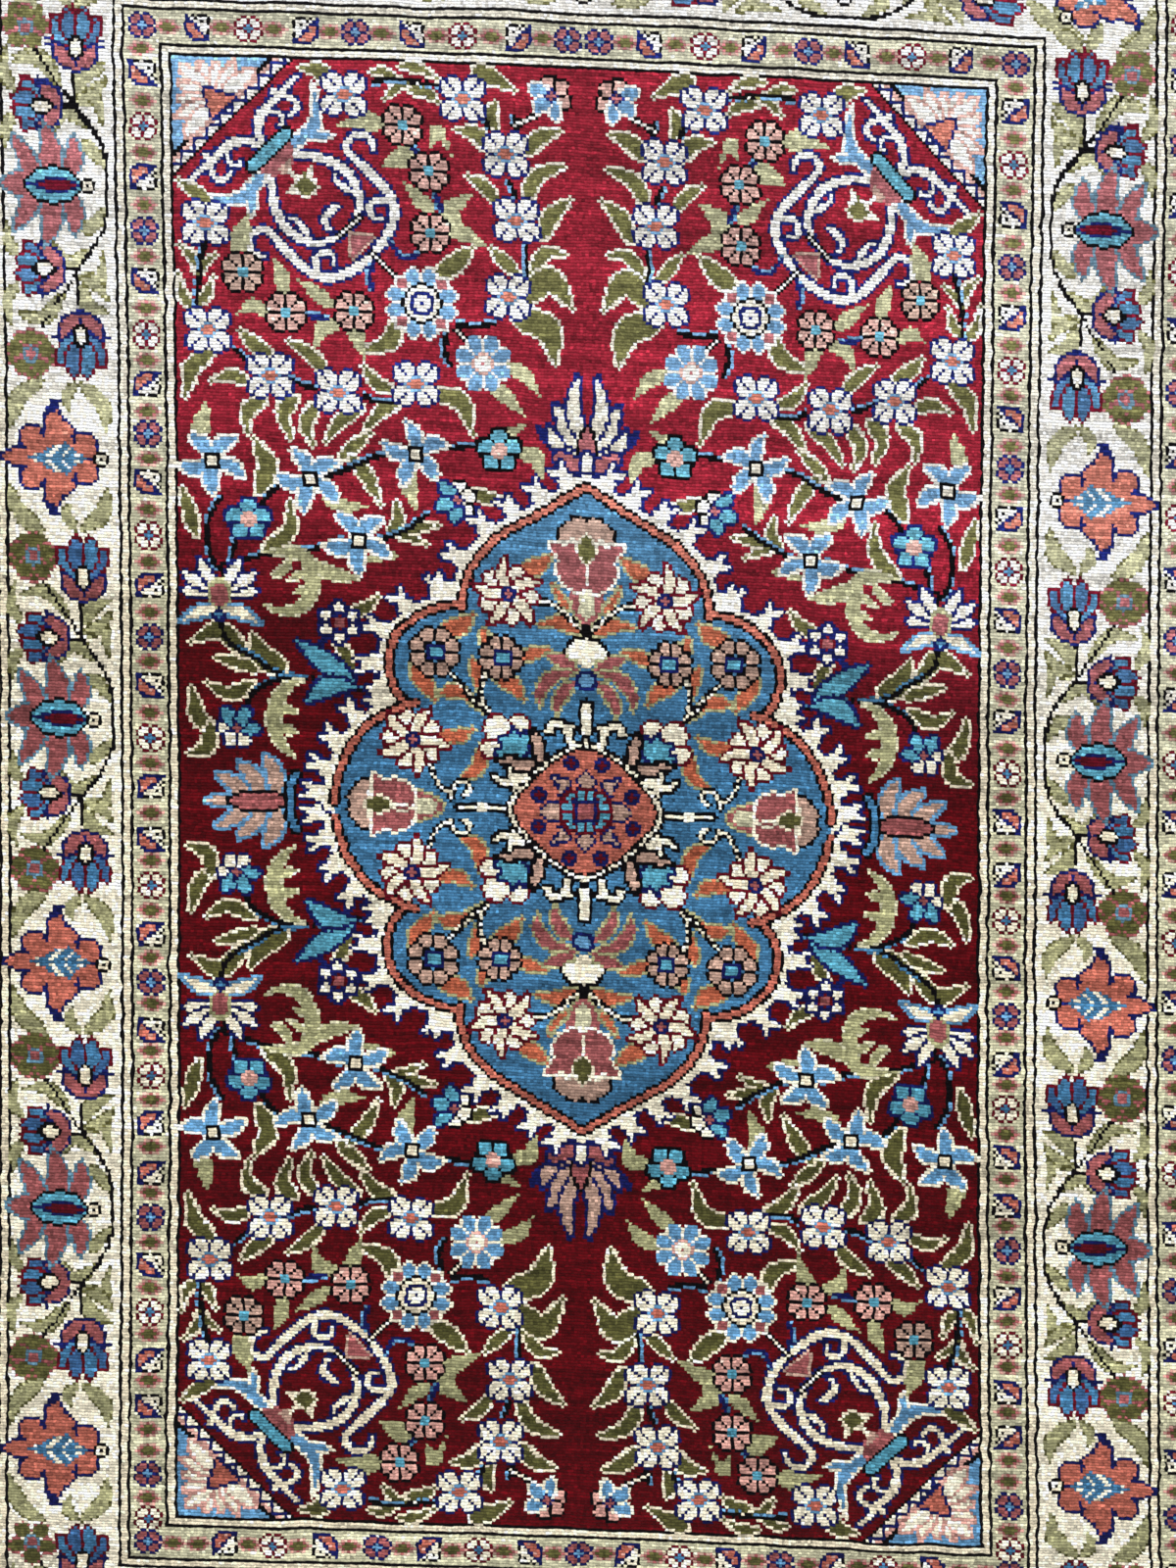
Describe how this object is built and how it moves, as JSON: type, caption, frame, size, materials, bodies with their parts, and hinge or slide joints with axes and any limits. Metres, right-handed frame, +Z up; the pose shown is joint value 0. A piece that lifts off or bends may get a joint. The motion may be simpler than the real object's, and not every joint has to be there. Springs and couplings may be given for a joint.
{
  "type": "hand-knotted medallion rug",
  "caption": "Rectangular knotted silk rug lying flat, with a lobed centre medallion, floral field, corner spandrels and banded borders.",
  "frame": {"origin": "The middle of the rug's outline, on the surface the rug lies on.", "axes": "+Z is up, out of the pile. +Y runs along the rug's length, the way its warps run. +X runs across it, the way its rows of knots run."},
  "size_m": [0.8336, 1.2554, 0.0057],
  "materials": {
    "silk_pile": "cut pile with a silky sheen"
  },
  "bodies": {
    "root": {"rug": "silk_pile"}
  },
  "joints": []
}
